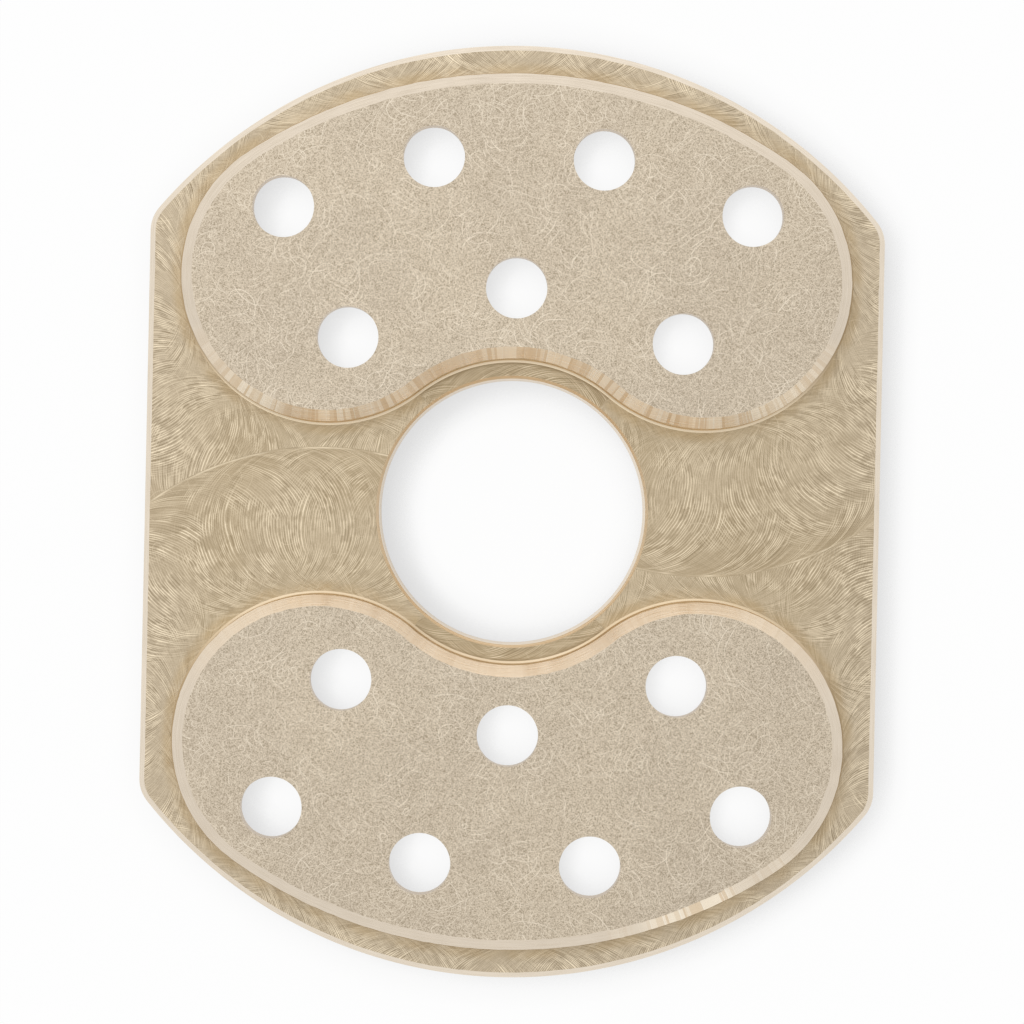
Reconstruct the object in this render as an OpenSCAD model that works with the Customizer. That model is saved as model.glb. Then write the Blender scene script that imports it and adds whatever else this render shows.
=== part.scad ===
// Pasta extrusion die: one bronze plate with two raised kidney pads and fourteen round orifices.
// Millimetres. The back face, where the dough enters, lies on z = 0 and +Z leaves the pad side.
// The origin is on the axis of the centre bore, +Y points at the upper pad, +X at one side flat.

/* [Plate] */
// Diameter of the round blank
plate_d = 84; // [80:0.5:90]
// Distance across the two side flats
plate_w = 66.2; // [62:0.1:72]
// Thickness from the back face to the milled floor round the pads
plate_t = 7; // [5:0.5:12]
// Rounding where a side flat meets the round edge
corner_r = 3.2; // [1.5:0.1:6]
// Chamfer on the outer edges, front and back
edge_chamfer = 0.5; // [0.2:0.1:1]

/* [Centre bore] */
// Diameter of the bore that fits over the hub of the machine
bore_d = 24; // [20:0.5:27]
// Chamfer at both ends of the bore
bore_chamfer = 0.25; // [0.1:0.05:0.6]

/* [Raised pads] */
// Height of a pad above the milled floor
pad_h = 3; // [2:0.1:5]
// Radius of the round ends of a pad
pad_end_r = 13.1; // [12:0.1:14]
// Strip of floor between the bore and the inner wall of a pad
bore_land = 1.75; // [1:0.05:2.5]
// Strip of floor between the outer wall of a pad and the round edge of the plate
rim_end = 2.8; // [1.6:0.1:4]
// Strip of floor between a pad end and the side flat
rim_side = 3.1; // [1.6:0.1:5]
// Width of the 45 degree chamfer round the top of a pad
pad_chamfer = 1; // [0.3:0.1:1.5]
// Corner radius that the cutter leaves where a wall meets the floor
pad_fillet = 0.3; // [0.1:0.05:0.5]

/* [Orifices] */
// Diameter of the hole that shapes the pasta
orifice_d = 5.5; // [3:0.1:7]
// Length of the orifice before it opens into the feed bore
orifice_land = 2; // [1:0.1:3]
// Diameter of the feed bore drilled from the back
feed_d = 9; // [8:0.1:10]
// Full angle of the drill point at the end of the feed bore
feed_point = 118; // [90:1:140]
// Middle orifice of the inner row: distance from the inner wall of the pad
inner_inset = 6.25; // [5.5:0.05:7.5]
// Middle pair of the outer row: distance from the top of the outer wall
outer_inset = 7.65; // [6:0.05:8.5]
// Middle pair of the outer row: distance between the two
outer_pitch = 15.2; // [12:0.1:17]
// Outer orifice in a pad end: distance from the centre of that end
end_outer_reach = 7.2; // [6:0.1:7.8]
// Outer orifice in a pad end: direction, counted from +X
end_outer_angle = 55.7; // [45:0.1:65]
// Inner orifice in a pad end: distance from the centre of that end
end_inner_reach = 5.9; // [5:0.1:7]
// Inner orifice in a pad end: direction, counted from +X
end_inner_angle = 251; // [240:1:262]

/* [Hidden] */
$fn = 120;
// Overlap that makes cuts pass a surface
over = 1;
// Extra radius that lets tangent arcs cross instead of only touching
blend = 0.01;
// Depth by which a pad is sunk into the plate so that the two join
sink = 1;
plate_r = plate_d / 2;
half_w = plate_w / 2;
total_t = plate_t + pad_h;
bore_r = bore_d / 2;
// Centre of a corner rounding, tangent to the flat and to the round edge
corner_x = half_w - corner_r;
corner_y = sqrt(pow(plate_r - corner_r, 2) - pow(corner_x, 2));
// The inner wall of both pads is concentric with the bore
pad_in_r = bore_r + bore_land;
// Furthest point of the outer wall from the bore axis
pad_top = plate_r - rim_end;
// Centre of the right pad end: tangent to the inner wall
pad_end_x = half_w - rim_side - pad_end_r;
pad_end_y = sqrt(pow(pad_in_r + pad_end_r, 2) - pow(pad_end_x, 2));
// Centre and radius of the outer wall, tangent to both pad ends
pad_core = pad_top - pad_end_r;
arc_y = (pow(pad_end_x, 2) + pow(pad_end_y, 2) - pow(pad_core, 2)) / (2 * (pad_end_y - pad_core));
arc_r = pad_top - arc_y;
// Direction from the outer wall's centre through a pad end, and a length that leaves the plate
fan = [pad_end_x, pad_end_y - arc_y] / norm([pad_end_x, pad_end_y - arc_y]);
far = plate_d;
orifice_r = orifice_d / 2;
feed_r = feed_d / 2;
// The drill point brings the feed bore down to the orifice
point_h = (feed_r - orifice_r) / tan(feed_point / 2);
feed_depth = total_t - orifice_land - point_h;
// Right half of the orifices in the upper pad
side_orifices = [
    [outer_pitch / 2, pad_top - outer_inset],
    [pad_end_x, pad_end_y] + end_outer_reach * [cos(end_outer_angle), sin(end_outer_angle)],
    [pad_end_x, pad_end_y] + end_inner_reach * [cos(end_inner_angle), sin(end_inner_angle)]
];
middle_orifice = [0, pad_in_r + inner_inset];

// Disc with the plate's thickness and its chamfer on both edges
module plate_disc(r) {
    rotate_extrude()
        polygon([
            [0, 0],
            [r - edge_chamfer, 0],
            [r, edge_chamfer],
            [r, plate_t - edge_chamfer],
            [r - edge_chamfer, plate_t],
            [0, plate_t]
        ]);
}

// Part of the plate between the two side flats, up to the corner centres
module plate_waist() {
    rotate([90, 0, 0])
        linear_extrude(height = 2 * corner_y, center = true)
            polygon([
                [edge_chamfer - half_w, 0],
                [half_w - edge_chamfer, 0],
                [half_w, edge_chamfer],
                [half_w, plate_t - edge_chamfer],
                [half_w - edge_chamfer, plate_t],
                [edge_chamfer - half_w, plate_t],
                [-half_w, plate_t - edge_chamfer],
                [-half_w, edge_chamfer]
            ]);
}

// Round end of the plate, kept between the rays through two corner centres
module plate_end() {
    reach = far / corner_y;
    intersection() {
        plate_disc(plate_r);
        translate([0, 0, -over])
            linear_extrude(height = plate_t + 2 * over)
                polygon([
                    [0, 0],
                    [corner_x, corner_y] * reach,
                    [-corner_x, corner_y] * reach
                ]);
    }
}

// Blank: a disc with two side flats and rounded corners
module plate() {
    plate_waist();
    for (turn = [0, 180])
        rotate([0, 0, turn])
            plate_end();
    for (sx = [-1, 1], sy = [-1, 1])
        translate([sx * corner_x, sy * corner_y, 0])
            plate_disc(corner_r + blend);
}

// Section of a pad that is round outside: wall, top chamfer and the cutter's corner radius
module pad_section(r) {
    difference() {
        polygon([
            [0, -sink],
            [r + pad_fillet, -sink],
            [r + pad_fillet, pad_fillet],
            [r, pad_fillet],
            [r, pad_h - pad_chamfer],
            [r - pad_chamfer, pad_h],
            [0, pad_h]
        ]);
        translate([r + pad_fillet, pad_fillet])
            circle(r = pad_fillet);
    }
}

// Section of the space inside a pad's hollow wall: the same wall seen from the other side
module hollow_section(r) {
    polygon([
        [0, 0],
        [r - pad_fillet, 0],
        [r - pad_fillet, pad_fillet],
        [r, pad_fillet],
        [r, pad_h - pad_chamfer],
        [r + pad_chamfer + over, pad_h + over],
        [0, pad_h + over]
    ]);
    translate([r - pad_fillet, pad_fillet])
        circle(r = pad_fillet);
}

// Middle of a pad: between the outer wall and the hollow wall, cut off at the end centres
module pad_middle() {
    difference() {
        intersection() {
            translate([0, arc_y, 0])
                rotate_extrude()
                    pad_section(arc_r);
            translate([0, 0, -sink - over])
                linear_extrude(height = pad_h + sink + 2 * over)
                    polygon([
                        [0, 0],
                        [pad_end_x, pad_end_y],
                        [pad_end_x, pad_end_y] + fan * far,
                        [-pad_end_x, pad_end_y] + [-fan[0], fan[1]] * far,
                        [-pad_end_x, pad_end_y]
                    ]);
        }
        rotate_extrude()
            hollow_section(pad_in_r);
    }
}

// One kidney pad, standing on the milled floor
module pad() {
    translate([0, 0, plate_t]) {
        pad_middle();
        for (side = [-1, 1])
            translate([side * pad_end_x, pad_end_y, 0])
                rotate_extrude()
                    pad_section(pad_end_r + blend);
    }
}

// Hub bore with a chamfer at both ends
module centre_bore() {
    rotate_extrude()
        polygon([
            [0, -over],
            [bore_r + bore_chamfer + over, -over],
            [bore_r, bore_chamfer],
            [bore_r, plate_t - bore_chamfer],
            [bore_r + bore_chamfer + over, plate_t + over],
            [0, plate_t + over]
        ]);
}

// One orifice: feed bore from the back, drill point, then the short hole that shapes the pasta
module orifice() {
    rotate_extrude()
        polygon([
            [0, -over],
            [feed_r, -over],
            [feed_r, feed_depth],
            [orifice_r, total_t - orifice_land],
            [orifice_r, total_t + over],
            [0, total_t + over]
        ]);
}

// Seven orifices of the upper pad
module pad_orifices() {
    translate(middle_orifice)
        orifice();
    for (spot = side_orifices, side = [-1, 1])
        translate([side * spot[0], spot[1], 0])
            orifice();
}

module die_plate() {
    color("#c6b08a")
        difference() {
            union() {
                plate();
                for (turn = [0, 180])
                    rotate([0, 0, turn])
                        pad();
            }
            centre_bore();
            for (turn = [0, 180])
                rotate([0, 0, turn])
                    pad_orifices();
        }
}

die_plate();
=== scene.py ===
import math
import random

import bmesh
import bpy
import numpy as np
from mathutils import Matrix, Vector
from mathutils.geometry import delaunay_2d_cdt


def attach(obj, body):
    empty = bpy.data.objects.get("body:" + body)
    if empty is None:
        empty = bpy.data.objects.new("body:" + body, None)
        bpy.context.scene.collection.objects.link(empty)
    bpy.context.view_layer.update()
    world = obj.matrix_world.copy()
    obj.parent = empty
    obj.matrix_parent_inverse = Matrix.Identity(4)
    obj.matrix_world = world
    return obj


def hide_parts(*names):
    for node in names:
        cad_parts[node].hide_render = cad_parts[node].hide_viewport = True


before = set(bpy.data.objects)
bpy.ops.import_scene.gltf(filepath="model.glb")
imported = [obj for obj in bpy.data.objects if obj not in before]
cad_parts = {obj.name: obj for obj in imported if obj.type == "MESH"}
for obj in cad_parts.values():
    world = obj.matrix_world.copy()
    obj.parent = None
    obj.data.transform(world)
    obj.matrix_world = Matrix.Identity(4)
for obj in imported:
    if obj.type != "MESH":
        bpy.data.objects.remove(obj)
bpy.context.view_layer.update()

# Sizes of the die in millimetres and degrees, as the solid has them
PLATE_RADIUS = 42.0
HALF_WIDTH = 33.1
PLATE_THICK = 7.0
CORNER_RADIUS = 3.2
EDGE_CHAMFER = 0.5
BORE_RADIUS = 12.0
BORE_CHAMFER = 0.25
PAD_HEIGHT = 3.0
PAD_END_RADIUS = 13.1
BORE_LAND = 1.75
RIM_END = 2.8
RIM_SIDE = 3.1
PAD_CHAMFER = 1.0
PAD_FILLET = 0.3
ORIFICE_RADIUS = 2.75
ORIFICE_LAND = 2.0
FEED_RADIUS = 4.5
DRILL_POINT = 118
INNER_INSET = 6.25
OUTER_INSET = 7.65
OUTER_PITCH = 15.2
END_OUTER_REACH = 7.2
END_OUTER_ANGLE = 55.7
END_INNER_REACH = 5.9
END_INNER_ANGLE = 251

# Places that follow from those sizes
TOTAL_THICK = PLATE_THICK + PAD_HEIGHT
CORNER_X = HALF_WIDTH - CORNER_RADIUS
CORNER_Y = math.sqrt((PLATE_RADIUS - CORNER_RADIUS) ** 2 - CORNER_X ** 2)
MOUTH_RADIUS = BORE_RADIUS + BORE_CHAMFER
HUB_RADIUS = BORE_RADIUS + BORE_LAND
PAD_TOP = PLATE_RADIUS - RIM_END
END_X = HALF_WIDTH - RIM_SIDE - PAD_END_RADIUS
END_Y = math.sqrt((HUB_RADIUS + PAD_END_RADIUS) ** 2 - END_X ** 2)
PAD_CORE = PAD_TOP - PAD_END_RADIUS
ARC_Y = (END_X ** 2 + END_Y ** 2 - PAD_CORE ** 2) / (2 * (END_Y - PAD_CORE))
ARC_RADIUS = PAD_TOP - ARC_Y
POINT_HEIGHT = (FEED_RADIUS - ORIFICE_RADIUS) / math.tan(math.radians(DRILL_POINT) / 2)
FEED_DEPTH = TOTAL_THICK - ORIFICE_LAND - POINT_HEIGHT

# Directions of the points where a pad end meets the hub side and the outer arc
END_TO_HUB = math.atan2(-END_Y, -END_X)
END_TO_ARC = math.atan2(END_Y - ARC_Y, END_X)
HUB_TO_END = math.atan2(END_Y, END_X)

# The cutter that milled the floor, the path of its centre round a pad, and the gap between its marks
CUTTER_RADIUS = 6.65
WANTED_GAP = 0.24
PATH_END = (PAD_END_RADIUS + CUTTER_RADIUS) * (END_TO_ARC - END_TO_HUB)
PATH_OUTER = (ARC_RADIUS + CUTTER_RADIUS) * (math.pi - 2 * END_TO_ARC)
PATH_INNER = (HUB_RADIUS - CUTTER_RADIUS) * (math.pi - 2 * HUB_TO_END)
PATH_ALL = 2 * PATH_END + PATH_OUTER + PATH_INNER
MARK_GAP = PATH_ALL / round(PATH_ALL / WANTED_GAP)

# Edge of the pass that lies on top: degrees round a pad end, points, and gap to the edges in millimetres
BORDER_START = -108
BORDER_SWEEP = 60
BORDER_POINTS = 160
BORDER_GAP = 0.05

# Chatter: depth of the facets, and their shortest and longest length in millimetres
EDGE_WAVER = (0.012, 0.4, 1.0)
CROWN_WAVER = (0.022, 0.3, 0.9)
SHOULDER_WAVER = (0.012, 0.3, 0.9)

# Where the cutter chattered: on the bore side, and along one stretch outside the lower pad
FACING_START = 0.35
FACING_SPAN = 0.5
LOWER_CHATTER = 0.15
STRETCH_FIRST = -27.0
STRETCH_LAST = -9.0
STRETCH_ABOVE = 28.0

# How far the wall of the bore shines like the rough side of a pad
BORE_SHINE = 0.55

# Metres in a millimetre
MM = 0.001

# How finely the mesh follows the die. Points merge within a distance in metres, the rest is in millimetres
EDGE_STEP = 0.35
PAD_STEP = 0.25
FEWEST_STEPS = 6
CIRCLE_STEPS = 96
BORE_STEPS = 224
FILLET_STEPS = 4
GRID_HALF_X = 34
GRID_HALF_Y = 43
GRID_SHIFT = 0.3
GRID_TURN_X = 2.1
GRID_TURN_Y = 1.7
GRID_MARGIN = 0.35
SMALLEST_REACH = 1.0
SAME_POINT = 1e-6
MERGE_DISTANCE = 2e-6
SHARP_ANGLE = math.radians(24)

# Spans of a noise that give wide and narrower changes, and the two ways from none to all
WIDE_NOISE = (0.3, 0.7)
MIDDLE_NOISE = (0.35, 0.65)
RISING = (0.0, 1.0)
FALLING = (1.0, 0.0)

# Layers of curled scratches: cell, gap between arcs, width of a line, seed
SCRATCH_SIZES = ("Cell", "Gap", "Width", "Seed")
FACE_SCRATCHES = [
    (2.6, 0.5, 0.045, 1.0),
    (2.1, 0.56, 0.045, 2.0),
    (3.3, 0.46, 0.045, 3.0),
    (2.9, 0.53, 0.045, 5.0),
]
FLOOR_SCRATCHES = [(3.1, 1.1, 0.06, 21.0)]
LEAD_SEED = 3.0
TRAIL_SEED = 41.0

# Depth of the finishes in millimetres
SANDING_DEPTH = 0.003
MILLING_DEPTH = 0.006
CHAMFER_DEPTH = 0.003
WALL_DEPTH = 0.005
DRILLING_DEPTH = 0.01

# Studio floor: half its width and its drop under the die in metres, its grey, and its glow for the camera
FLOOR_HALF = 1.5
FLOOR_DROP = 0.0001
FLOOR_GREY = 0.8
GLOW_SHARE = 0.96

# The shadow on that glow: its reach in millimetres, the side of the light, and how open air becomes glow
SHADOW_REACH = 4.2
SHADOW_RAYS = 4
LIGHT_SIDE = (-0.45, 0.05, 0.89)
OPEN_AIR = (0.3, 0.88)
FLOOR_GLOW = (0.69, 1.0)

# Surroundings: level all round, and what the top of the picture, the right, both sides and the zenith add
SKY_LEVEL = 1.07
SKY_TOP = 0.25
SKY_RIGHT = -0.03
SKY_SIDES = -0.24
SKY_ZENITH = -0.17

# Window lamp: width and place in metres, power in watts
LAMP_WIDTH = 1.2
LAMP_POWER = 0.9
LAMP_PLACE = (-0.35, 0.2, 0.62)

# Camera: aim in millimetres, lean and turn, distance in metres, scale of the picture
CAMERA_AIM = (0.0, -0.02, PLATE_THICK)
CAMERA_LEAN = math.radians(0.2)
CAMERA_TURN = math.radians(1.2)
CAMERA_DISTANCE = 0.31
PIXELS_PER_METRE = 11090.0
PICTURE_PIXELS = 1024
SENSOR_WIDTH = 36.0
NEAREST_SEEN = 0.01
FARTHEST_SEEN = 20.0

PIECE_NAME = "die_plate_finished"
WHITE = (1.0, 1.0, 1.0, 1.0)
HALF_COLOUR = (0.5, 0.5, 0.5)
chance = random.Random(7)


def orifice_spots():
    """Centres of the fourteen orifices."""
    def in_end(reach, degrees):
        angle = math.radians(degrees)
        return END_X + reach * math.cos(angle), END_Y + reach * math.sin(angle)

    spots = [(0.0, HUB_RADIUS + INNER_INSET)]
    pairs = [
        (OUTER_PITCH / 2, PAD_TOP - OUTER_INSET),
        in_end(END_OUTER_REACH, END_OUTER_ANGLE),
        in_end(END_INNER_REACH, END_INNER_ANGLE),
    ]
    for x, y in pairs:
        spots += [(x, y), (-x, y)]
    return spots + [(-x, -y) for x, y in spots]


def circle_ring(x, y, radius, steps=CIRCLE_STEPS):
    turn = 2 * math.pi / steps
    return [(x + radius * math.cos(turn * i), y + radius * math.sin(turn * i)) for i in range(steps)]


def arc_stations(x, y, radius, side, first, last, step):
    """Stations along an arc. The side is -1 where the metal lies outside the arc."""
    count = max(FEWEST_STEPS, round(abs(last - first) * radius / step))
    return [(x, y, radius, side, first + (last - first) * i / count) for i in range(count)]


def flat_stations(x, first, last, step):
    """Stations along a side flat."""
    count = round(abs(last - first) / step)
    facing = 0.0 if x > 0 else math.pi
    return [(x, first + (last - first) * i / count, 0.0, 1, facing) for i in range(count)]


def pad_stations(step):
    """Stations round the upper pad, counter-clockwise from the hub side of its right end."""
    pi = math.pi
    return (arc_stations(END_X, END_Y, PAD_END_RADIUS, 1, END_TO_HUB, END_TO_ARC, step)
            + arc_stations(0.0, ARC_Y, ARC_RADIUS, 1, END_TO_ARC, pi - END_TO_ARC, step)
            + arc_stations(-END_X, END_Y, PAD_END_RADIUS, 1, pi - END_TO_ARC, pi - END_TO_HUB, step)
            + arc_stations(0.0, 0.0, HUB_RADIUS, -1, pi - HUB_TO_END, HUB_TO_END, step))


def plate_stations(step):
    """Stations round the plate, counter-clockwise from the upper end of the right flat."""
    pi = math.pi
    tilt = math.atan2(CORNER_Y, CORNER_X)
    half = (arc_stations(CORNER_X, CORNER_Y, CORNER_RADIUS, 1, 0.0, tilt, step)
            + arc_stations(0.0, 0.0, PLATE_RADIUS, 1, tilt, pi - tilt, step)
            + arc_stations(-CORNER_X, CORNER_Y, CORNER_RADIUS, 1, pi - tilt, pi, step)
            + flat_stations(-HALF_WIDTH, CORNER_Y, -CORNER_Y, step))
    return half + [(-x, -y, radius, side, angle + pi) for x, y, radius, side, angle in half]


def ring_of(stations, offset):
    """Points of an outline moved outwards by one offset, or by one for each station."""
    offsets = offset if isinstance(offset, list) else [offset] * len(stations)
    points = []
    for (x, y, radius, side, angle), grow in zip(stations, offsets):
        reach = radius + side * grow
        points.append((x + reach * math.cos(angle), y + reach * math.sin(angle)))
    return points


def run_lengths(points):
    """Length along a closed ring of points, with the whole length as the last entry."""
    lengths = [0.0]
    for here, after in zip(points, points[1:] + points[:1]):
        lengths.append(lengths[-1] + math.dist(here, after))
    return lengths


def chatter(stations, depth, shortest, longest):
    """Offsets for a cut edge: straight facets of uneven length, as a chattering cutter leaves them."""
    lengths = run_lengths(ring_of(stations, 0.0))
    knots = [0.0]
    while knots[-1] < lengths[-1] - longest:
        knots.append(knots[-1] + chance.uniform(shortest, longest))
    knots.append(lengths[-1])
    heights = [chance.gauss(0.0, depth) for _ in knots]
    heights[-1] = heights[0]
    offsets = []
    k = 0
    for length in lengths[:-1]:
        while knots[k + 1] <= length:
            k += 1
        share = (length - knots[k]) / (knots[k + 1] - knots[k])
        offsets.append(heights[k] * (1 - share) + heights[k + 1] * share)
    return offsets


def bore_facing(stations):
    """How far each station of the upper pad faces the bore side, from 0 to 1."""
    facing = []
    for _, _, _, side, angle in stations:
        downward = -side * math.sin(angle)
        facing.append(min(max((downward - FACING_START) / FACING_SPAN, 0.0), 1.0))
    return facing


def lower_chatter(stations, inner):
    """How much the cutter chattered round the lower pad.

    It is little on the bore side and most along one stretch outside.
    The stations are those of the upper pad, before the half turn.
    """
    weights = []
    for (x, y), facing in zip(ring_of(stations, 0.0), inner):
        if y > STRETCH_ABOVE and STRETCH_FIRST < x < STRETCH_LAST:
            weights.append(math.sin(math.pi * (x - STRETCH_FIRST) / (STRETCH_LAST - STRETCH_FIRST)))
        else:
            weights.append(LOWER_CHATTER * facing)
    return weights


def turned(points, half_turn):
    return [(-x, -y) for x, y in points] if half_turn else points


def path_place(x, y):
    """Where a floor point lies on the cutter's path round the upper pad.

    Gives the length along the path, the distance from the wall and the bend factor of the marks.
    """
    angle = math.atan2(y - END_Y, abs(x) - END_X)
    if END_TO_HUB <= angle <= END_TO_ARC:
        reach = math.hypot(abs(x) - END_X, y - END_Y)
        path_radius = PAD_END_RADIUS + CUTTER_RADIUS
        away = reach - PAD_END_RADIUS
        along = path_radius * (angle - END_TO_HUB)
        if x < 0:
            along = 2 * PATH_END + PATH_OUTER - along
    elif angle > END_TO_ARC:
        reach = math.hypot(x, y - ARC_Y)
        path_radius = ARC_RADIUS + CUTTER_RADIUS
        away = reach - ARC_RADIUS
        along = PATH_END + path_radius * (math.atan2(y - ARC_Y, x) - END_TO_ARC)
    else:
        reach = math.hypot(x, y)
        path_radius = HUB_RADIUS - CUTTER_RADIUS
        away = HUB_RADIUS - reach
        along = 2 * PATH_END + PATH_OUTER + path_radius * (math.pi - HUB_TO_END - math.atan2(y, x))
    return along, away, math.sqrt(path_radius / max(reach, SMALLEST_REACH))


def floor_pass(x, y):
    """Which pad's pass is on top at a floor point, with the point's place on that path.

    The pad is 1 for the upper one and -1 for the lower one.
    """
    first = 1 if x > 0 else -1
    place = path_place(first * x, first * y)
    if place[1] < 2 * CUTTER_RADIUS:
        return first, place
    return -first, path_place(-first * x, -first * y)


def pass_border():
    """Edge of the pass that lies on top, on the right half of the floor."""
    reach = PAD_END_RADIUS + 2 * CUTTER_RADIUS
    points = []
    for i in range(BORDER_POINTS):
        angle = math.radians(BORDER_START + BORDER_SWEEP * i / (BORDER_POINTS - 1))
        x = END_X + reach * math.cos(angle)
        y = END_Y + reach * math.sin(angle)
        off_bore = math.hypot(x, y) > MOUTH_RADIUS + BORDER_GAP
        if off_bore and x < HALF_WIDTH - EDGE_CHAMFER - BORDER_GAP:
            points.append((x, y))
    return points


def on_floor(x, y, margin):
    """True on the milled floor, at least the margin inside its edges."""
    from_middle = math.hypot(x, y)
    if abs(x) > HALF_WIDTH - EDGE_CHAMFER - margin or from_middle > PLATE_RADIUS - EDGE_CHAMFER - margin:
        return False
    if from_middle < MOUTH_RADIUS + margin:
        return False
    if not in_rounded_corner(x, y, EDGE_CHAMFER + margin):
        return False
    return min(pad_distance(x, y), pad_distance(-x, -y)) > PAD_FILLET + margin


def in_rounded_corner(x, y, inset):
    """False in the tip that a corner rounding takes away."""
    x = abs(x)
    y = abs(y)
    if x < CORNER_X or y < CORNER_Y:
        return True
    if math.atan2(y, x) > math.atan2(CORNER_Y, CORNER_X):
        return True
    return math.hypot(x - CORNER_X, y - CORNER_Y) < CORNER_RADIUS - inset


def pad_distance(x, y):
    """Distance of a point outside the wall of the upper pad; negative inside."""
    angle = math.atan2(y - END_Y, abs(x) - END_X)
    from_end = math.hypot(abs(x) - END_X, y - END_Y) - PAD_END_RADIUS
    if END_TO_HUB <= angle <= END_TO_ARC:
        return from_end
    from_sides = max(math.hypot(x, y - ARC_Y) - ARC_RADIUS, HUB_RADIUS - math.hypot(x, y))
    return min(from_end, from_sides) if from_end < 0 else from_sides


def filled(rings, extra=(), lines=()):
    """Triangles between closed rings, through extra points and along open lines.

    A triangle is kept where a line to the right crosses the rings an odd number of times.
    """
    points = []
    edges = []
    for ring in rings:
        start = len(points)
        points += ring
        edges += [(start + i, start + (i + 1) % len(ring)) for i in range(len(ring))]
    borders = np.array([(*points[first], *points[last]) for first, last in edges])
    for line in lines:
        start = len(points)
        points += line
        edges += [(start + i, start + i + 1) for i in range(len(line) - 1)]
    points += list(extra)
    spots = [Vector(point) for point in points]
    corners, _, faces, _, _, _ = delaunay_2d_cdt(spots, edges, [], 0, SAME_POINT)
    from_x, from_y, to_x, to_y = borders.T
    rise = np.where(to_y == from_y, 1.0, to_y - from_y)
    kept = []
    for face in faces:
        x = sum(corners[i].x for i in face) / len(face)
        y = sum(corners[i].y for i in face) / len(face)
        crossed = ((from_y > y) != (to_y > y)) & (x < from_x + (y - from_y) / rise * (to_x - from_x))
        if crossed.sum() % 2:
            kept.append(list(face))
    return [(corner.x, corner.y) for corner in corners], kept


class PlateMesh:
    """Collects the faces of the plate with their finish and their place on the cutter's path."""

    def __init__(self, finishes):
        self.shape = bmesh.new()
        self.path = self.shape.loops.layers.uv.new("cutter_path")
        self.bend = self.shape.loops.layers.uv.new("cutter_bend")
        self.finishes = finishes

    def corners(self, points, z):
        return [self.shape.verts.new((x * MM, y * MM, z * MM)) for x, y in points]

    def face(self, corners, finish, places=(), bends=()):
        made = self.shape.faces.new(corners)
        made.material_index = self.finishes.index(finish)
        for loop, place in zip(made.loops, places):
            loop[self.path].uv = place
        for loop, bend in zip(made.loops, bends):
            loop[self.bend].uv = bend

    def band(self, low, high, finish, inner=None, rough=None):
        """A closed band between two rings of (points, height).

        For each station, inner says how far it faces the bore side and rough how much the cutter chattered.
        """
        low_points, low_z = low
        high_points, high_z = high
        count = len(low_points)
        none = [0.0] * count
        bends = list(zip(inner or none, rough or none))
        runs = run_lengths(low_points)
        bottom = self.corners(low_points, low_z)
        top = self.corners(high_points, high_z)
        for i in range(count):
            j = (i + 1) % count
            corners = [bottom[i], bottom[j], top[j], top[i]]
            places = [(runs[i], low_z), (runs[i + 1], low_z), (runs[i + 1], high_z), (runs[i], high_z)]
            self.face(corners, finish, places, [bends[i], bends[j], bends[j], bends[i]])

    def sheet(self, points, faces, z, finish):
        corners = self.corners(points, z)
        for face in faces:
            self.face([corners[i] for i in face], finish)

    def floor(self, points, faces, z, finish):
        """The milled floor: every corner carries its place on the path of the pass that cut it."""
        corners = self.corners(points, z)
        for face in faces:
            middle_x = sum(points[i][0] for i in face) / len(face)
            middle_y = sum(points[i][1] for i in face) / len(face)
            pad, middle = floor_pass(middle_x, middle_y)
            on_top = 1.0 if pad == (1 if middle_x > 0 else -1) else 0.0
            places = []
            bends = []
            for i in face:
                x, y = points[i]
                along, away, bend = path_place(pad * x, pad * y)
                if along - middle[0] > PATH_ALL / 2:
                    along -= PATH_ALL
                if middle[0] - along > PATH_ALL / 2:
                    along += PATH_ALL
                places.append((along, away))
                bends.append((bend, on_top))
            self.face([corners[i] for i in face], finish, places, bends)

    def take(self, mesh, finish):
        """Adds the faces of a finished mesh."""
        start = len(self.shape.faces)
        self.shape.from_mesh(mesh)
        self.shape.faces.ensure_lookup_table()
        for face in self.shape.faces[start:]:
            face.material_index = self.finishes.index(finish)

    def closed(self, name):
        """The joined mesh. Prints how many edges are open, which has to be none."""
        bmesh.ops.remove_doubles(self.shape, verts=self.shape.verts, dist=MERGE_DISTANCE)
        loose = [corner for corner in self.shape.verts if not corner.link_faces]
        bmesh.ops.delete(self.shape, geom=loose, context="VERTS")
        bmesh.ops.recalc_face_normals(self.shape, faces=self.shape.faces)
        open_edges = sum(1 for edge in self.shape.edges if len(edge.link_faces) != 2)
        print(name, "open edges", open_edges, "faces", len(self.shape.faces))
        mesh = bpy.data.meshes.new(name)
        self.shape.to_mesh(mesh)
        self.shape.free()
        return mesh


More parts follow.
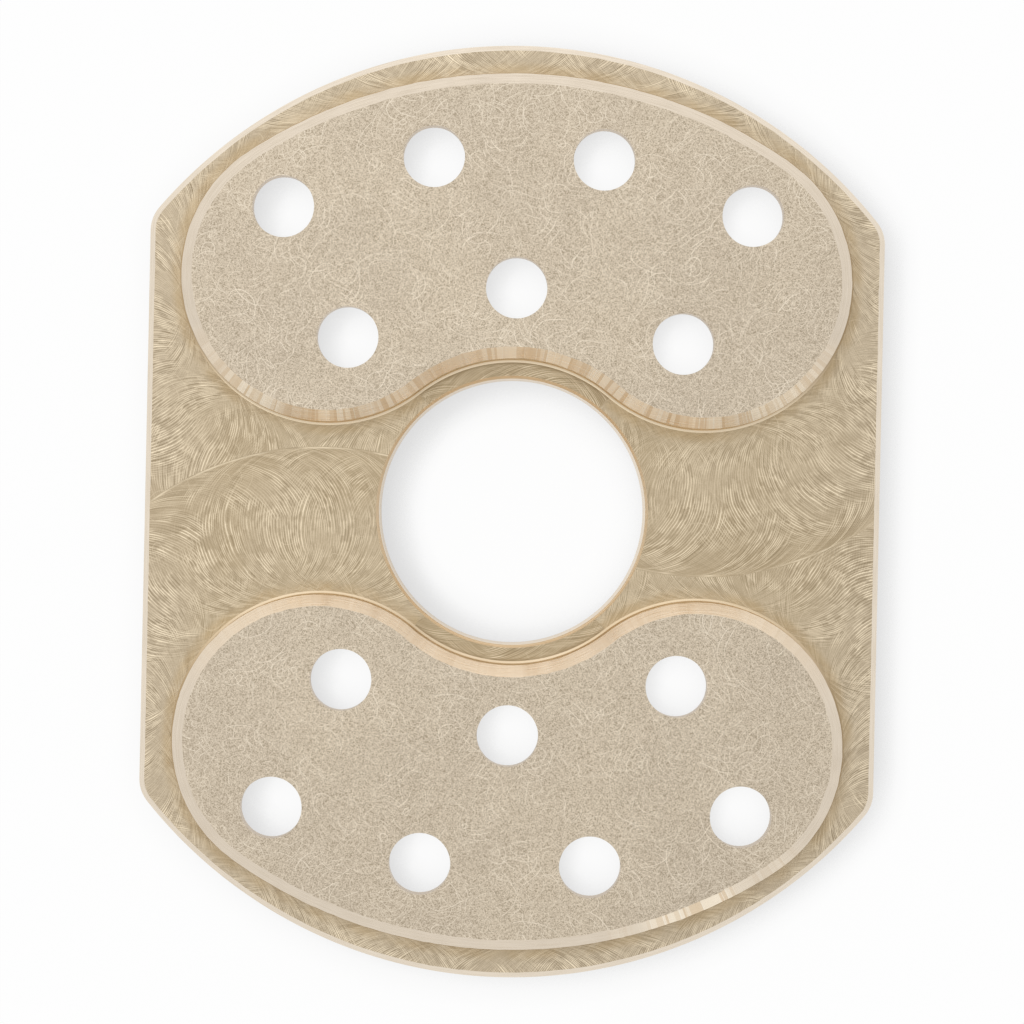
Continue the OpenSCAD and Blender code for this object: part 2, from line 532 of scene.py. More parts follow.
class NodeNet:
    """Short ways to add and link nodes in one tree."""

    def __init__(self, tree):
        self.tree = tree

    def add(self, kind, inputs=None, **settings):
        node = self.tree.nodes.new(kind)
        for name, value in settings.items():
            setattr(node, name, value)
        for key, value in (inputs or {}).items():
            if isinstance(value, bpy.types.NodeSocket):
                self.tree.links.new(value, node.inputs[key])
            else:
                node.inputs[key].default_value = value
        return node

    def math(self, operation, a, b=0.0):
        return self.add("ShaderNodeMath", {0: a, 1: b}, operation=operation).outputs[0]

    def plus(self, a, b):
        return self.math("ADD", a, b)

    def minus(self, a, b):
        return self.math("SUBTRACT", a, b)

    def times(self, a, b):
        return self.math("MULTIPLY", a, b)

    def most(self, a, b):
        return self.math("MAXIMUM", a, b)

    def size(self, a):
        return self.math("ABSOLUTE", a)

    def from_half(self, phase):
        """How far a phase is from the half of its turn: 0 there and 0.5 at its ends."""
        return self.size(self.minus(self.math("FRACT", phase), 0.5))

    def vector(self, operation, a, b):
        return self.add("ShaderNodeVectorMath", {0: a, 1: b}, operation=operation).outputs[0]

    def vector_of(self, x, y, z=0.0):
        return self.add("ShaderNodeCombineXYZ", {0: x, 1: y, 2: z}).outputs[0]

    def parts(self, vector):
        return self.add("ShaderNodeSeparateXYZ", {0: vector}).outputs

    def scaled(self, vector, factor):
        return self.add("ShaderNodeVectorMath", {0: vector, "Scale": factor}, operation="SCALE").outputs[0]

    def length(self, vector):
        return self.add("ShaderNodeVectorMath", {0: vector}, operation="LENGTH").outputs["Value"]

    def spread(self, value, span, to=RISING, smooth=True):
        """Carries a value from one span to another and holds it at the ends."""
        inputs = {"Value": value, "From Min": span[0], "From Max": span[1], "To Min": to[0], "To Max": to[1]}
        curve = "SMOOTHSTEP" if smooth else "LINEAR"
        return self.add("ShaderNodeMapRange", inputs, interpolation_type=curve).outputs[0]

    def straight(self, value, to):
        """Carries a value from 0 to 1 evenly to another span."""
        return self.spread(value, RISING, to, smooth=False)

    def mix(self, share, a, b):
        """Mixes two colours, which the node keeps in its sockets 6 and 7 and its output 2."""
        return self.add("ShaderNodeMix", {0: share, 6: a, 7: b}, data_type="RGBA").outputs[2]

    def tinted(self, tint, other, mask, share):
        """The tint with a share of another colour where the mask lies."""
        return self.mix(self.times(mask, share), tint, other)

    def noise(self, place, per_mm=1.0, detail=2.0):
        inputs = {"Vector": place, "Scale": per_mm, "Detail": detail}
        return self.add("ShaderNodeTexNoise", inputs).outputs["Fac"]

    def noise_along(self, length, per_mm, detail=2.0):
        inputs = {"W": length, "Scale": per_mm, "Detail": detail}
        return self.add("ShaderNodeTexNoise", inputs, noise_dimensions="1D").outputs["Fac"]

    def cells(self, place, per_mm):
        inputs = {"Vector": place, "Scale": per_mm}
        return self.add("ShaderNodeTexVoronoi", inputs, voronoi_dimensions="2D", feature="F1").outputs

    def chance_of(self, number):
        return self.add("ShaderNodeTexWhiteNoise", {"W": number}, noise_dimensions="1D").outputs["Value"]

    def millimetres(self):
        """Place on the die in millimetres."""
        return self.scaled(self.add("ShaderNodeTexCoord").outputs["Object"], 1 / MM)

    def pair(self, layer):
        """The two values that a corner carries in one of the plate's own layers."""
        both = self.parts(self.add("ShaderNodeUVMap", uv_map=layer).outputs[0])
        return both[0], both[1]


def colour(red, green, blue):
    return (red, green, blue, 1.0)


def curl_scratch_group():
    """One layer of curled scratches: each cell of a scattered pattern holds arcs round its own centre."""
    bends_per_cell = 0.8
    bend_reach = 0.45
    centre_reach = 1.5
    seed_shift_x = 17.3
    seed_shift_y = 9.1
    arc_numbers_apart = 91.0
    shown_chance = (0.4, 1.0)
    tree = bpy.data.node_groups.new("curl_scratch", "ShaderNodeTree")
    sockets = tree.interface
    sockets.new_socket("Vector", in_out="INPUT", socket_type="NodeSocketVector")
    for name in SCRATCH_SIZES:
        sockets.new_socket(name, in_out="INPUT", socket_type="NodeSocketFloat")
    sockets.new_socket("Line", in_out="OUTPUT", socket_type="NodeSocketFloat")
    net = NodeNet(tree)
    given = net.add("NodeGroupInput").outputs

    def swung(vector, random_colour, reach):
        swing = net.scaled(net.vector("SUBTRACT", random_colour, HALF_COLOUR), reach)
        return net.vector("ADD", vector, swing)

    shift = net.vector_of(net.times(given["Seed"], seed_shift_x), net.times(given["Seed"], seed_shift_y))
    place = net.vector("ADD", net.scaled(given["Vector"], net.math("DIVIDE", 1.0, given["Cell"])), shift)
    bend_inputs = {"Vector": place, "Scale": bends_per_cell, "Detail": 0.0}
    bend = net.add("ShaderNodeTexNoise", bend_inputs, noise_dimensions="2D").outputs["Color"]
    cells = net.cells(place, 1.0)
    bent = swung(place, bend, bend_reach)
    centre = swung(cells["Position"], cells["Color"], centre_reach)
    apart = net.vector("MULTIPLY", net.vector("SUBTRACT", bent, centre), (1.0, 1.0, 0.0))
    phase = net.math("DIVIDE", net.times(net.length(apart), given["Cell"]), given["Gap"])
    blue = net.add("ShaderNodeSeparateColor", {0: cells["Color"]}).outputs[2]
    number = net.plus(net.math("FLOOR", phase), net.times(blue, arc_numbers_apart))
    aside = net.times(net.from_half(phase), given["Gap"])
    line = net.spread(aside, (0.0, given["Width"]), FALLING)
    shown = net.spread(net.chance_of(number), shown_chance)
    net.add("NodeGroupOutput", {"Line": net.times(line, shown)})
    return tree


def metal(name):
    """A new metal material with its node net and its shader."""
    material = bpy.data.materials.new(name)
    material.use_nodes = True
    shader = material.node_tree.nodes["Principled BSDF"]
    shader.inputs["Metallic"].default_value = 1.0
    return material, NodeNet(material.node_tree), shader


def scratch_layers(net, group, place, layers):
    """The strongest of several layers of curled scratches."""
    strongest = None
    for layer in layers:
        inputs = {"Vector": place, **dict(zip(SCRATCH_SIZES, layer))}
        line = net.add("ShaderNodeGroup", inputs, node_tree=group).outputs["Line"]
        strongest = line if strongest is None else net.most(strongest, line)
    return strongest


def finish_metal(net, shader, tint, roughness, height, depth):
    """Links tint, roughness and a relief of a depth in millimetres to a metal shader."""
    net.tree.links.new(tint, shader.inputs["Base Color"])
    net.tree.links.new(roughness, shader.inputs["Roughness"])
    relief = net.add("ShaderNodeBump", {"Height": height, "Distance": depth * MM, "Strength": 1.0})
    net.tree.links.new(relief.outputs[0], shader.inputs["Normal"])


def sanded_face(group):
    """Pad faces and back: bronze sanded in small circles."""
    dull = colour(0.585, 0.497, 0.386)
    clear = colour(0.635, 0.54, 0.415)
    pit_tint = colour(0.345, 0.28, 0.195)
    glint_tint = colour(0.86, 0.755, 0.60)
    loop_tint = colour(0.94, 0.84, 0.69)
    loop_patches = (0.36, 0.6)
    loop_strength = (0.35, 0.8)
    specks_per_mm = 12.5
    pit_grain = (0.5, 0.0)
    pit_strength = (0.85, 0.65)
    glint_grain = (0.5, 1.0)
    glint_strength = (0.45, 0.6)
    roughness = (0.4, 0.48)
    material, net, shader = metal("sanded_bronze")
    place = net.millimetres()
    loops = scratch_layers(net, group, place, FACE_SCRATCHES)
    patchy = net.spread(net.noise(place, per_mm=0.3, detail=1.0), loop_patches, loop_strength)
    grain = net.add("ShaderNodeSeparateColor", {0: net.cells(place, specks_per_mm)["Color"]}).outputs[0]
    coarse = net.spread(net.noise(place, per_mm=1.6), MIDDLE_NOISE)
    cloud = net.spread(net.noise(place, per_mm=0.09, detail=3.0), WIDE_NOISE)
    pits = net.times(net.spread(grain, pit_grain), net.spread(coarse, RISING, pit_strength))
    glints = net.times(net.spread(grain, glint_grain), net.spread(coarse, RISING, glint_strength))
    tint = net.mix(cloud, dull, clear)
    tint = net.mix(pits, tint, pit_tint)
    tint = net.mix(glints, tint, glint_tint)
    tint = net.mix(net.times(loops, patchy), tint, loop_tint)
    finish_metal(net, shader, tint, net.straight(grain, roughness), grain, SANDING_DEPTH)
    return material


def cutter_marks(net, at, away, wander, seed):
    """Ridges and grooves of one set of cutter arcs: broken strokes, stronger in bundles."""
    uneven = 2.0
    strokes_apart = 7.31
    strokes_per_mm = 0.75
    bundles_along = 0.4
    bundles_across = 0.3
    bundle_noise = (0.34, 0.6)
    bundle_strength = (0.25, 1.0)
    ridge_wave = (0.52, 0.8)
    ridge_strokes = (0.42, 0.55)
    groove_wave = (0.42, 0.12)
    groove_strokes = (0.56, 0.43)
    shift = net.plus(wander, net.times(net.noise_along(at, per_mm=0.9, detail=1.0), uneven))
    phase = net.plus(net.math("DIVIDE", at, MARK_GAP), shift)
    number = net.math("FLOOR", phase)
    wave = net.times(net.from_half(phase), 2.0)
    stroke = net.vector_of(net.times(number, strokes_apart), net.times(away, strokes_per_mm), seed)
    stroke = net.noise(stroke, detail=1.0)
    bundle = net.vector_of(net.times(at, bundles_along), net.times(away, bundles_across), seed)
    bundle = net.spread(net.noise(bundle), bundle_noise, bundle_strength)
    ridge = net.times(net.spread(wave, ridge_wave), net.spread(stroke, ridge_strokes))
    groove = net.times(net.spread(wave, groove_wave), net.spread(stroke, groove_strokes))
    return net.times(ridge, bundle), net.times(groove, bundle)


def milled_floor(group):
    """Floor round the pads: arcs of the cutter, one for each feed, and the edge of its passes."""
    dull = colour(0.485, 0.385, 0.25)
    clear = colour(0.57, 0.465, 0.32)
    rim_tint = colour(0.58, 0.49, 0.37)
    wall_shade_tint = colour(0.53, 0.39, 0.215)
    hub_tint = colour(0.44, 0.335, 0.2)
    grain_tint = colour(0.36, 0.28, 0.17)
    groove_tint = colour(0.25, 0.185, 0.105)
    ridge_tint = colour(0.97, 0.83, 0.61)
    root_shade_tint = colour(0.29, 0.205, 0.11)
    cloud_noise = (0.32, 0.68)
    roughness = (0.34, 0.42)
    material, net, shader = metal("milled_bronze")
    place = net.millimetres()
    along, away = net.pair("cutter_path")
    bend, on_top = net.pair("cutter_bend")

    # The cutter leaves one arc ahead of its centre and one behind it, and one of the two shows more
    wander_reach = (-0.7, 0.7)
    lead_sweep = (0.38, 0.56)
    lead_strength = (0.12, 1.0)
    trail_sweep = (0.6, 0.44)
    trail_strength = (0.08, 1.0)
    side = net.minus(away, CUTTER_RADIUS)
    half = net.math("SQRT", net.most(net.minus(CUTTER_RADIUS ** 2, net.times(side, side)), 0.0))
    reach = net.times(half, bend)
    wander = net.straight(net.noise(place, per_mm=0.3, detail=1.0), wander_reach)
    ridge, groove = cutter_marks(net, net.plus(along, reach), away, wander, LEAD_SEED)
    cross, cross_groove = cutter_marks(net, net.minus(along, reach), away, wander, TRAIL_SEED)
    sweep = net.noise(place, per_mm=0.17, detail=1.0)
    lead = net.spread(sweep, lead_sweep, lead_strength)
    trail = net.spread(sweep, trail_sweep, trail_strength)

    # The marks are clearest near the rim and faint beside a wall, where the floor gets a painted shade with
    # a painted orange reflection of the wall, and a painted shade line runs along the foot of the hub side
    rim_reach = (26.0, 38.0)
    rim_strength = 0.3
    wall_reach = (0.6, 1.5)
    wall_patches = (0.35, 0.6)
    wall_strength = (0.35, 1.0)
    wall_bend = (0.85, 0.95)
    hub_bend = (0.95, 0.8)
    root_reach = (0.3, 0.6)
    root_strength = (0.6, 0.0)
    mark_strength = (0.95, 0.45)
    patchy = net.noise(place, per_mm=0.35)
    rim = net.spread(net.length(place), rim_reach)
    # Mask of the painted shade and reflection beside a wall, which also fades the marks there
    wall_shade_and_fade = net.times(net.spread(away, wall_reach, FALLING), net.spread(bend, wall_bend))
    wall_shade_and_fade = net.times(wall_shade_and_fade, net.spread(patchy, wall_patches, wall_strength))
    by_hub = net.spread(bend, hub_bend)
    root = net.times(net.spread(away, root_reach, root_strength), by_hub)
    strength = net.plus(net.straight(wall_shade_and_fade, mark_strength), net.times(rim, rim_strength))
    pale = net.times(net.most(net.times(ridge, lead), net.times(cross, trail)), strength)
    dark = net.times(net.most(net.times(groove, lead), net.times(cross_groove, trail)), strength)

    # The edge of the upper pass, and a few loose scratches
    border_inset = 0.12
    border_width = (0.02, 0.12)
    border_strength = (0.1, 0.8)
    loose_strength = 0.35
    from_border = net.size(net.minus(away, 2 * CUTTER_RADIUS - border_inset))
    border = net.times(net.spread(from_border, border_width, FALLING), on_top)
    border = net.times(border, net.spread(patchy, MIDDLE_NOISE, border_strength))
    loose = net.times(scratch_layers(net, group, place, FLOOR_SCRATCHES), loose_strength)
    pale = net.most(pale, net.most(border, loose))

    grain = net.spread(net.noise(place, per_mm=7.0, detail=1.0), MIDDLE_NOISE)
    cloud = net.spread(net.noise(place, per_mm=0.13, detail=3.0), cloud_noise)
    tint = net.mix(cloud, dull, clear)
    tint = net.tinted(tint, rim_tint, rim, share=0.6)
    # Painted shade and painted orange reflection of the wall on the floor beside the pad walls
    tint = net.tinted(tint, wall_shade_tint, wall_shade_and_fade, share=0.62)
    tint = net.tinted(tint, hub_tint, by_hub, share=0.75)
    tint = net.tinted(tint, grain_tint, grain, share=0.22)
    tint = net.tinted(tint, groove_tint, dark, share=0.68)
    tint = net.tinted(tint, ridge_tint, pale, share=0.85)
    # Painted shade line along the foot of the walls on the hub side
    tint = net.mix(root, tint, root_shade_tint)
    relief = net.minus(ridge, groove)
    finish_metal(net, shader, tint, net.straight(cloud, roughness), relief, MILLING_DEPTH)
    return material


def streaks(net, along, height, along_per_mm, height_per_mm):
    """Long fine lines that run along a cut."""
    lane = net.vector_of(net.times(along, along_per_mm), net.times(height, height_per_mm))
    return net.spread(net.noise(lane, detail=3.0), WIDE_NOISE)


def chattered_chamfer():
    """Chamfers: fine lines along the cut, and stretches where the cutter chattered across it, with painted
    light and shade on its facets and painted highlights at some facet edges.
    """
    pad_dull = colour(0.71, 0.61, 0.485)
    pad_clear = colour(0.79, 0.69, 0.565)
    plate_highlight_dull = colour(0.78, 0.68, 0.55)
    plate_highlight_clear = colour(0.86, 0.76, 0.63)
    bore_side_even = colour(0.78, 0.645, 0.49)
    bore_side_rough = colour(0.84, 0.665, 0.465)
    shaded_facet_tint = colour(0.79, 0.62, 0.42)
    lit_facet_tint = colour(1.0, 0.88, 0.70)
    facet_edge_highlight = colour(1.0, 0.94, 0.82)
    burst_noise = (0.38, 0.52)
    burst_strength = (0.4, 1.0)
    facets_per_mm = 3.0
    uneven = 2.4
    facet_chance = (0.0, 0.7)
    line_width = (0.0, 0.3)
    line_chance = (0.4, 0.8)
    second_draw = 0.5
    plate_edge = (PLATE_THICK, PLATE_THICK + PAD_CHAMFER)
    roughness = (0.26, 0.34)
    material, net, shader = metal("chamfer_bronze")
    along, height = net.pair("cutter_path")
    inner, rough = net.pair("cutter_bend")
    streak = streaks(net, along, height, along_per_mm=0.3, height_per_mm=9.0)
    burst = net.spread(net.noise_along(along, per_mm=0.09, detail=1.0), burst_noise, burst_strength)
    burst = net.times(rough, burst)
    shift = net.times(net.noise_along(along, per_mm=0.8, detail=1.0), uneven)
    phase = net.plus(net.times(along, facets_per_mm), shift)
    number = net.math("FLOOR", phase)
    facet_light = net.mix(net.spread(net.chance_of(number), facet_chance), shaded_facet_tint, lit_facet_tint)
    line = net.times(net.spread(net.math("FRACT", phase), line_width, FALLING), burst)
    line = net.times(line, net.spread(net.chance_of(net.plus(number, second_draw)), line_chance))
    on_plate = net.spread(height, plate_edge, FALLING)
    tint = net.mix(streak, pad_dull, pad_clear)
    # The plate's edge chamfer is painted lighter than the pad chamfers: a painted highlight
    tint = net.mix(on_plate, tint, net.mix(streak, plate_highlight_dull, plate_highlight_clear))
    tint = net.tinted(tint, net.mix(rough, bore_side_even, bore_side_rough), inner, share=0.8)
    # Painted light and shade on the chatter facets, and painted highlights at the start of some of them
    tint = net.tinted(tint, facet_light, burst, share=0.85)
    tint = net.tinted(tint, facet_edge_highlight, line, share=0.8)
    finish_metal(net, shader, tint, net.straight(streak, roughness), streak, CHAMFER_DEPTH)
    return material


def milled_wall():
    """Upright walls: lines round the plate from the side of the cutter, with a painted shade in the foot of
    a pad.
    """
    dull = colour(0.63, 0.485, 0.31)
    clear = colour(0.74, 0.60, 0.425)
    foot_shade_tint = colour(0.36, 0.25, 0.13)
    bore_side = colour(0.93, 0.77, 0.55)
    streak_share = 0.6
    cloud_share = 0.4
    foot_reach = (PAD_FILLET / 2, PAD_FILLET * 2)
    foot_strength = (0.8, 0.0)
    roughness = (0.26, 0.34)
    material, net, shader = metal("wall_bronze")
    along, height = net.pair("cutter_path")
    inner, rough = net.pair("cutter_bend")
    streak = streaks(net, along, height, along_per_mm=0.05, height_per_mm=8.0)
    cloud = net.spread(net.noise_along(along, per_mm=0.12), WIDE_NOISE)
    mark = net.plus(net.times(streak, streak_share), net.times(cloud, cloud_share))
    from_foot = net.size(net.minus(height, PLATE_THICK + PAD_FILLET / 2))
    foot = net.spread(from_foot, foot_reach, FALLING)
    foot = net.times(foot, net.straight(inner, foot_strength))
    tint = net.mix(mark, dull, clear)
    # Painted shade in the fillet at the foot of a pad, fading to none on the bore side
    tint = net.mix(foot, tint, foot_shade_tint)
    tint = net.tinted(tint, bore_side, net.times(inner, rough), share=0.85)
    finish_metal(net, shader, tint, net.straight(streak, roughness), streak, WALL_DEPTH)
    return material


def drilled_wall():
    """Orifices and feed bores: rings from the drill."""
    dull = colour(0.58, 0.46, 0.32)
    clear = colour(0.72, 0.60, 0.45)
    ring_waver = 0.5
    roughness = (0.3, 0.42)
    material, net, shader = metal("drilled_bronze")
    place = net.millimetres()
    waver = net.times(net.noise(place, per_mm=0.6), ring_waver)
    rings = net.noise_along(net.plus(net.parts(place)[2], waver), per_mm=7.0)
    tint = net.mix(net.spread(rings, WIDE_NOISE), dull, clear)
    finish_metal(net, shader, tint, net.spread(rings, WIDE_NOISE, roughness), rings, DRILLING_DEPTH)
    return material


def orifice_tree():
    """Walls of the orifices: feed bore, drill point and land, set on every point of the given mesh."""
    tree = bpy.data.node_groups.new("orifice_walls", "GeometryNodeTree")
    sockets = tree.interface
    sockets.new_socket("Geometry", in_out="INPUT", socket_type="NodeSocketGeometry")
    for name in ("Orifice Radius", "Feed Radius", "Feed Depth", "Point Height", "Land Length"):
        sockets.new_socket(name, in_out="INPUT", socket_type="NodeSocketFloat")
    sockets.new_socket("Sides", in_out="INPUT", socket_type="NodeSocketInt")
    sockets.new_socket("Finish", in_out="INPUT", socket_type="NodeSocketMaterial")
    sockets.new_socket("Geometry", in_out="OUTPUT", socket_type="NodeSocketGeometry")
    net = NodeNet(tree)
    given = net.add("NodeGroupInput").outputs
    orifice = given["Orifice Radius"]
    feed = given["Feed Radius"]
    feed_depth = given["Feed Depth"]
    point = given["Point Height"]

    def sleeve(low_radius, high_radius, depth, start):
        sizes = {"Radius Bottom": low_radius, "Radius Top": high_radius, "Depth": depth}
        cone = net.add("GeometryNodeMeshCone", {"Vertices": given["Sides"], **sizes}, fill_type="NONE")
        lifted = {"Geometry": cone.outputs["Mesh"], "Translation": net.vector_of(0.0, 0.0, start)}
        return net.add("GeometryNodeTransform", lifted).outputs[0]

    sleeves = [
        sleeve(feed, feed, feed_depth, 0.0),
        sleeve(feed, orifice, point, feed_depth),
        sleeve(orifice, orifice, given["Land Length"], net.plus(feed_depth, point)),
    ]
    joined = net.add("GeometryNodeJoinGeometry")
    for part in sleeves:
        tree.links.new(part, joined.inputs[0])
    inward = net.add("GeometryNodeFlipFaces", {"Mesh": joined.outputs[0]}).outputs[0]
    spots = {"Points": given["Geometry"], "Instance": inward}
    placed = net.add("GeometryNodeInstanceOnPoints", spots).outputs[0]
    real = net.add("GeometryNodeRealizeInstances", {"Geometry": placed}).outputs[0]
    done = net.add("GeometryNodeSetMaterial", {"Geometry": real, "Material": given["Finish"]}).outputs[0]
    net.add("NodeGroupOutput", {"Geometry": done})
    return tree


def orifice_walls(finish):
    """Mesh of all orifice walls."""
    points = bpy.data.meshes.new("orifice_points")
    points.from_pydata([(x * MM, y * MM, 0.0) for x, y in orifice_spots()], [], [])
    holder = bpy.data.objects.new("orifice_points", points)
    bpy.context.scene.collection.objects.link(holder)
    tree = orifice_tree()
    modifier = holder.modifiers.new("orifice_walls", "NODES")
    modifier.node_group = tree
    sizes = {
        "Orifice Radius": ORIFICE_RADIUS * MM,
        "Feed Radius": FEED_RADIUS * MM,
        "Feed Depth": FEED_DEPTH * MM,
        "Point Height": POINT_HEIGHT * MM,
        "Land Length": ORIFICE_LAND * MM,
        "Sides": CIRCLE_STEPS,
        "Finish": finish,
    }
    for item in tree.interface.items_tree:
        if item.in_out == "INPUT" and item.name in sizes:
            modifier[item.identifier] = sizes[item.name]
    ready = holder.evaluated_get(bpy.context.evaluated_depsgraph_get())
    mesh = bpy.data.meshes.new_from_object(ready)
    bpy.data.objects.remove(holder)
    return mesh


def add_edge(plate):
    """Side of the plate with its chamfers. Gives the outlines of the back and of the front floor."""
    stations = plate_stations(EDGE_STEP)
    front = ring_of(stations, [-EDGE_CHAMFER + waver for waver in chatter(stations, *EDGE_WAVER)])
    back = ring_of(stations, -EDGE_CHAMFER)
    side = ring_of(stations, 0.0)
    plate.band((back, 0.0), (side, EDGE_CHAMFER), "chamfer")
    plate.band((side, EDGE_CHAMFER), (side, PLATE_THICK - EDGE_CHAMFER), "wall")
    plate.band((side, PLATE_THICK - EDGE_CHAMFER), (front, PLATE_THICK), "chamfer")
    return back, front


def add_bore(plate):
    """Centre bore with its chamfers. Gives the outline of its mouth."""
    mouth = circle_ring(0, 0, MOUTH_RADIUS, BORE_STEPS)
    bore = circle_ring(0, 0, BORE_RADIUS, BORE_STEPS)
    levels = [
        (mouth, 0.0),
        (bore, BORE_CHAMFER),
        (bore, PLATE_THICK - BORE_CHAMFER),
        (mouth, PLATE_THICK),
    ]
    for low, high in zip(levels, levels[1:]):
        plate.band(low, high, "wall", [1.0] * BORE_STEPS, [BORE_SHINE] * BORE_STEPS)
    return mouth


def add_pad(plate, half_turn):
    """One pad with its foot radius, wall, chamfer and face. Gives the outline of its foot."""
    stations = pad_stations(PAD_STEP)
    inner = bore_facing(stations)
    rough = lower_chatter(stations, inner) if half_turn else inner
    crown_offsets = [-PAD_CHAMFER + waver for waver in chatter(stations, *CROWN_WAVER)]
    shoulder_offsets = chatter(stations, *SHOULDER_WAVER)
    rings = []
    for i in range(FILLET_STEPS + 1):
        angle = math.radians(90 / FILLET_STEPS * i)
        outline = turned(ring_of(stations, PAD_FILLET * (1 - math.sin(angle))), half_turn)
        rings.append((outline, PLATE_THICK + PAD_FILLET * (1 - math.cos(angle))))
    rings.append((turned(ring_of(stations, shoulder_offsets), half_turn), TOTAL_THICK - PAD_CHAMFER))
    crown = turned(ring_of(stations, crown_offsets), half_turn)
    for low, high in zip(rings, rings[1:]):
        plate.band(low, high, "wall", inner, rough)
    plate.band(rings[-1], (crown, TOTAL_THICK), "chamfer", inner, rough)
    holes = [circle_ring(x, y, ORIFICE_RADIUS) for x, y in orifice_spots() if (y < 0) == half_turn]
    plate.sheet(*filled([crown] + holes), TOTAL_THICK, "face")
    return rings[0][0]


def add_floor(plate, outlines):
    """Milled floor between the outlines, with points close enough to follow the cutter's path."""
    grid = []
    for i in range(-GRID_HALF_X, GRID_HALF_X + 1):
        for j in range(-GRID_HALF_Y, GRID_HALF_Y + 1):
            x = i + GRID_SHIFT * math.sin(j * GRID_TURN_X)
            y = j + GRID_SHIFT * math.sin(i * GRID_TURN_Y)
            if on_floor(x, y, GRID_MARGIN):
                grid.append((x, y))
    border = pass_border()
    plate.floor(*filled(outlines, grid, [border, turned(border, True)]), PLATE_THICK, "floor")


def build_plate(finishes):
    """The whole die as one closed mesh."""
    names = list(finishes)
    plate = PlateMesh(names)
    back, front = add_edge(plate)
    mouth = add_bore(plate)
    feet = [add_pad(plate, half_turn) for half_turn in (False, True)]
    add_floor(plate, [front, mouth] + feet)
    feeds = [circle_ring(x, y, FEED_RADIUS) for x, y in orifice_spots()]
    plate.sheet(*filled([back, mouth] + feeds), 0.0, "back")
    plate.take(orifice_walls(finishes["orifice"]), "orifice")
    mesh = plate.closed(PIECE_NAME)
    for name in names:
        mesh.materials.append(finishes[name])
    for polygon in mesh.polygons:
        polygon.use_smooth = polygon.material_index != names.index("chamfer")
    mesh.set_sharp_from_angle(angle=SHARP_ANGLE)
    piece = bpy.data.objects.new(PIECE_NAME, mesh)
    bpy.context.scene.collection.objects.link(piece)
    return piece


def studio_white():
    """White floor that glows for the camera and in the metal, less where the die keeps light off it."""
    material = bpy.data.materials.new("studio_white")
    material.use_nodes = True
    material.node_tree.nodes.clear()
    net = NodeNet(material.node_tree)
    path = net.add("ShaderNodeLightPath").outputs
    seen = net.most(net.most(path["Is Camera Ray"], path["Is Glossy Ray"]), path["Is Transmission Ray"])
    reach = {"Distance": SHADOW_REACH * MM, "Normal": net.vector_of(*LIGHT_SIDE)}
    open_air = net.add("ShaderNodeAmbientOcclusion", reach, samples=SHADOW_RAYS).outputs["AO"]
    level = net.spread(open_air, OPEN_AIR, FLOOR_GLOW)
    grey = colour(FLOOR_GREY, FLOOR_GREY, FLOOR_GREY)
    plain = net.add("ShaderNodeBsdfDiffuse", {"Color": grey}).outputs[0]
    glow = net.add("ShaderNodeEmission", {"Color": WHITE, "Strength": level}).outputs[0]
    blend = net.add("ShaderNodeMixShader", {0: net.times(seen, GLOW_SHARE), 1: plain, 2: glow}).outputs[0]
    net.add("ShaderNodeOutputMaterial", {0: blend})
    return material


def build_floor():
    """Pale floor under the die."""
    corners = [(-1, -1), (1, -1), (1, 1), (-1, 1)]
    mesh = bpy.data.meshes.new("studio_floor")
    points = [(x * FLOOR_HALF, y * FLOOR_HALF, -FLOOR_DROP) for x, y in corners]
    mesh.from_pydata(points, [], [(0, 1, 2, 3)])
    mesh.materials.append(studio_white())
    floor = bpy.data.objects.new("studio_floor", mesh)
    bpy.context.scene.collection.objects.link(floor)


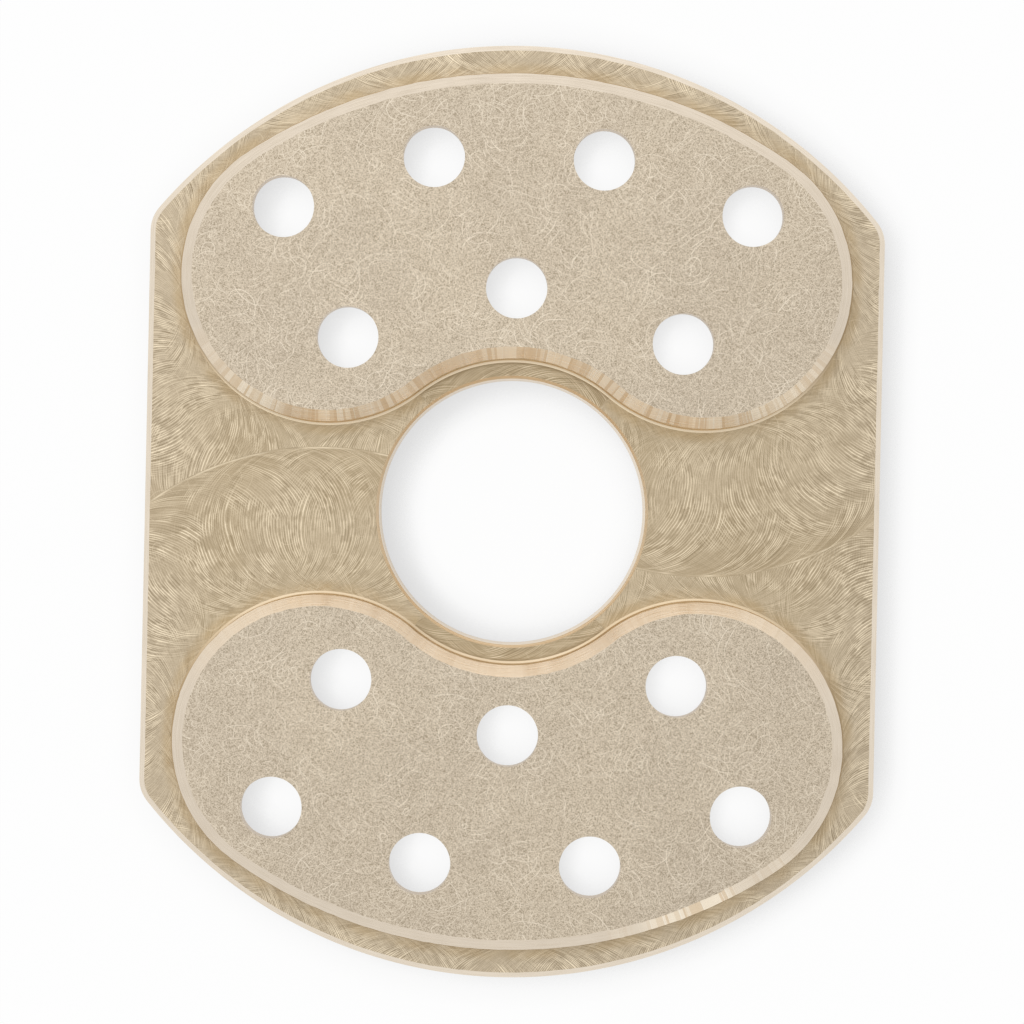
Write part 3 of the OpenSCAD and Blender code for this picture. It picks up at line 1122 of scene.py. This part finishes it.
def build_light():
    """Soft white surroundings and one wide window lamp."""
    world = bpy.data.worlds.new("studio")
    bpy.context.scene.world = world
    world.use_nodes = True
    world.node_tree.nodes.clear()
    net = NodeNet(world.node_tree)
    way = net.parts(net.add("ShaderNodeTexCoord").outputs["Generated"])
    level = net.plus(SKY_LEVEL, net.times(way[1], SKY_TOP))
    level = net.plus(level, net.times(way[0], SKY_RIGHT))
    level = net.plus(level, net.times(net.size(way[0]), SKY_SIDES))
    level = net.plus(level, net.times(net.most(way[2], 0.0), SKY_ZENITH))
    level = net.most(level, net.add("ShaderNodeLightPath").outputs["Is Camera Ray"])
    sky = net.add("ShaderNodeBackground", {"Color": WHITE, "Strength": level}).outputs[0]
    net.add("ShaderNodeOutputWorld", {0: sky})

    lamp = bpy.data.lights.new("window", "AREA")
    lamp.shape = "DISK"
    lamp.size = LAMP_WIDTH
    lamp.energy = LAMP_POWER
    window = bpy.data.objects.new("window", lamp)
    window.matrix_world = look_from(Vector(LAMP_PLACE), Vector((0, 0, 0)), Vector((0, 1, 0)))
    bpy.context.scene.collection.objects.link(window)


def look_from(place, target, up):
    """Matrix of a lamp or camera that stands at a place and looks at a target."""
    back = (place - target).normalized()
    right = up.cross(back).normalized()
    above = back.cross(right)
    matrix = Matrix((right, above, back)).transposed().to_4x4()
    matrix.translation = place
    return matrix


def build_camera():
    """Nearly straight down, a little turned, as a hand-held close view."""
    aim = Vector(CAMERA_AIM) * MM
    place = aim + CAMERA_DISTANCE * Vector((0.0, math.sin(CAMERA_LEAN), math.cos(CAMERA_LEAN)))
    picture_up = Vector((-math.sin(CAMERA_TURN), math.cos(CAMERA_TURN), 0.0))
    to_side_edge = CAMERA_DISTANCE + EDGE_CHAMFER * MM
    camera = bpy.data.cameras.new("camera")
    camera.sensor_width = SENSOR_WIDTH
    camera.lens = SENSOR_WIDTH * PIXELS_PER_METRE * to_side_edge / PICTURE_PIXELS
    camera.clip_start = NEAREST_SEEN
    camera.clip_end = FARTHEST_SEEN
    eye = bpy.data.objects.new("camera", camera)
    eye.matrix_world = look_from(place, aim, picture_up)
    bpy.context.scene.collection.objects.link(eye)
    bpy.context.scene.camera = eye


curl = curl_scratch_group()
sanded = sanded_face(curl)
finishes = {
    "face": sanded,
    "floor": milled_floor(curl),
    "chamfer": chattered_chamfer(),
    "wall": milled_wall(),
    "orifice": drilled_wall(),
    "back": sanded,
}
die = build_plate(finishes)
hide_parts("die_plate")
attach(die, "root")
build_floor()
build_light()
build_camera()
bpy.context.scene.view_settings.view_transform = "Standard"
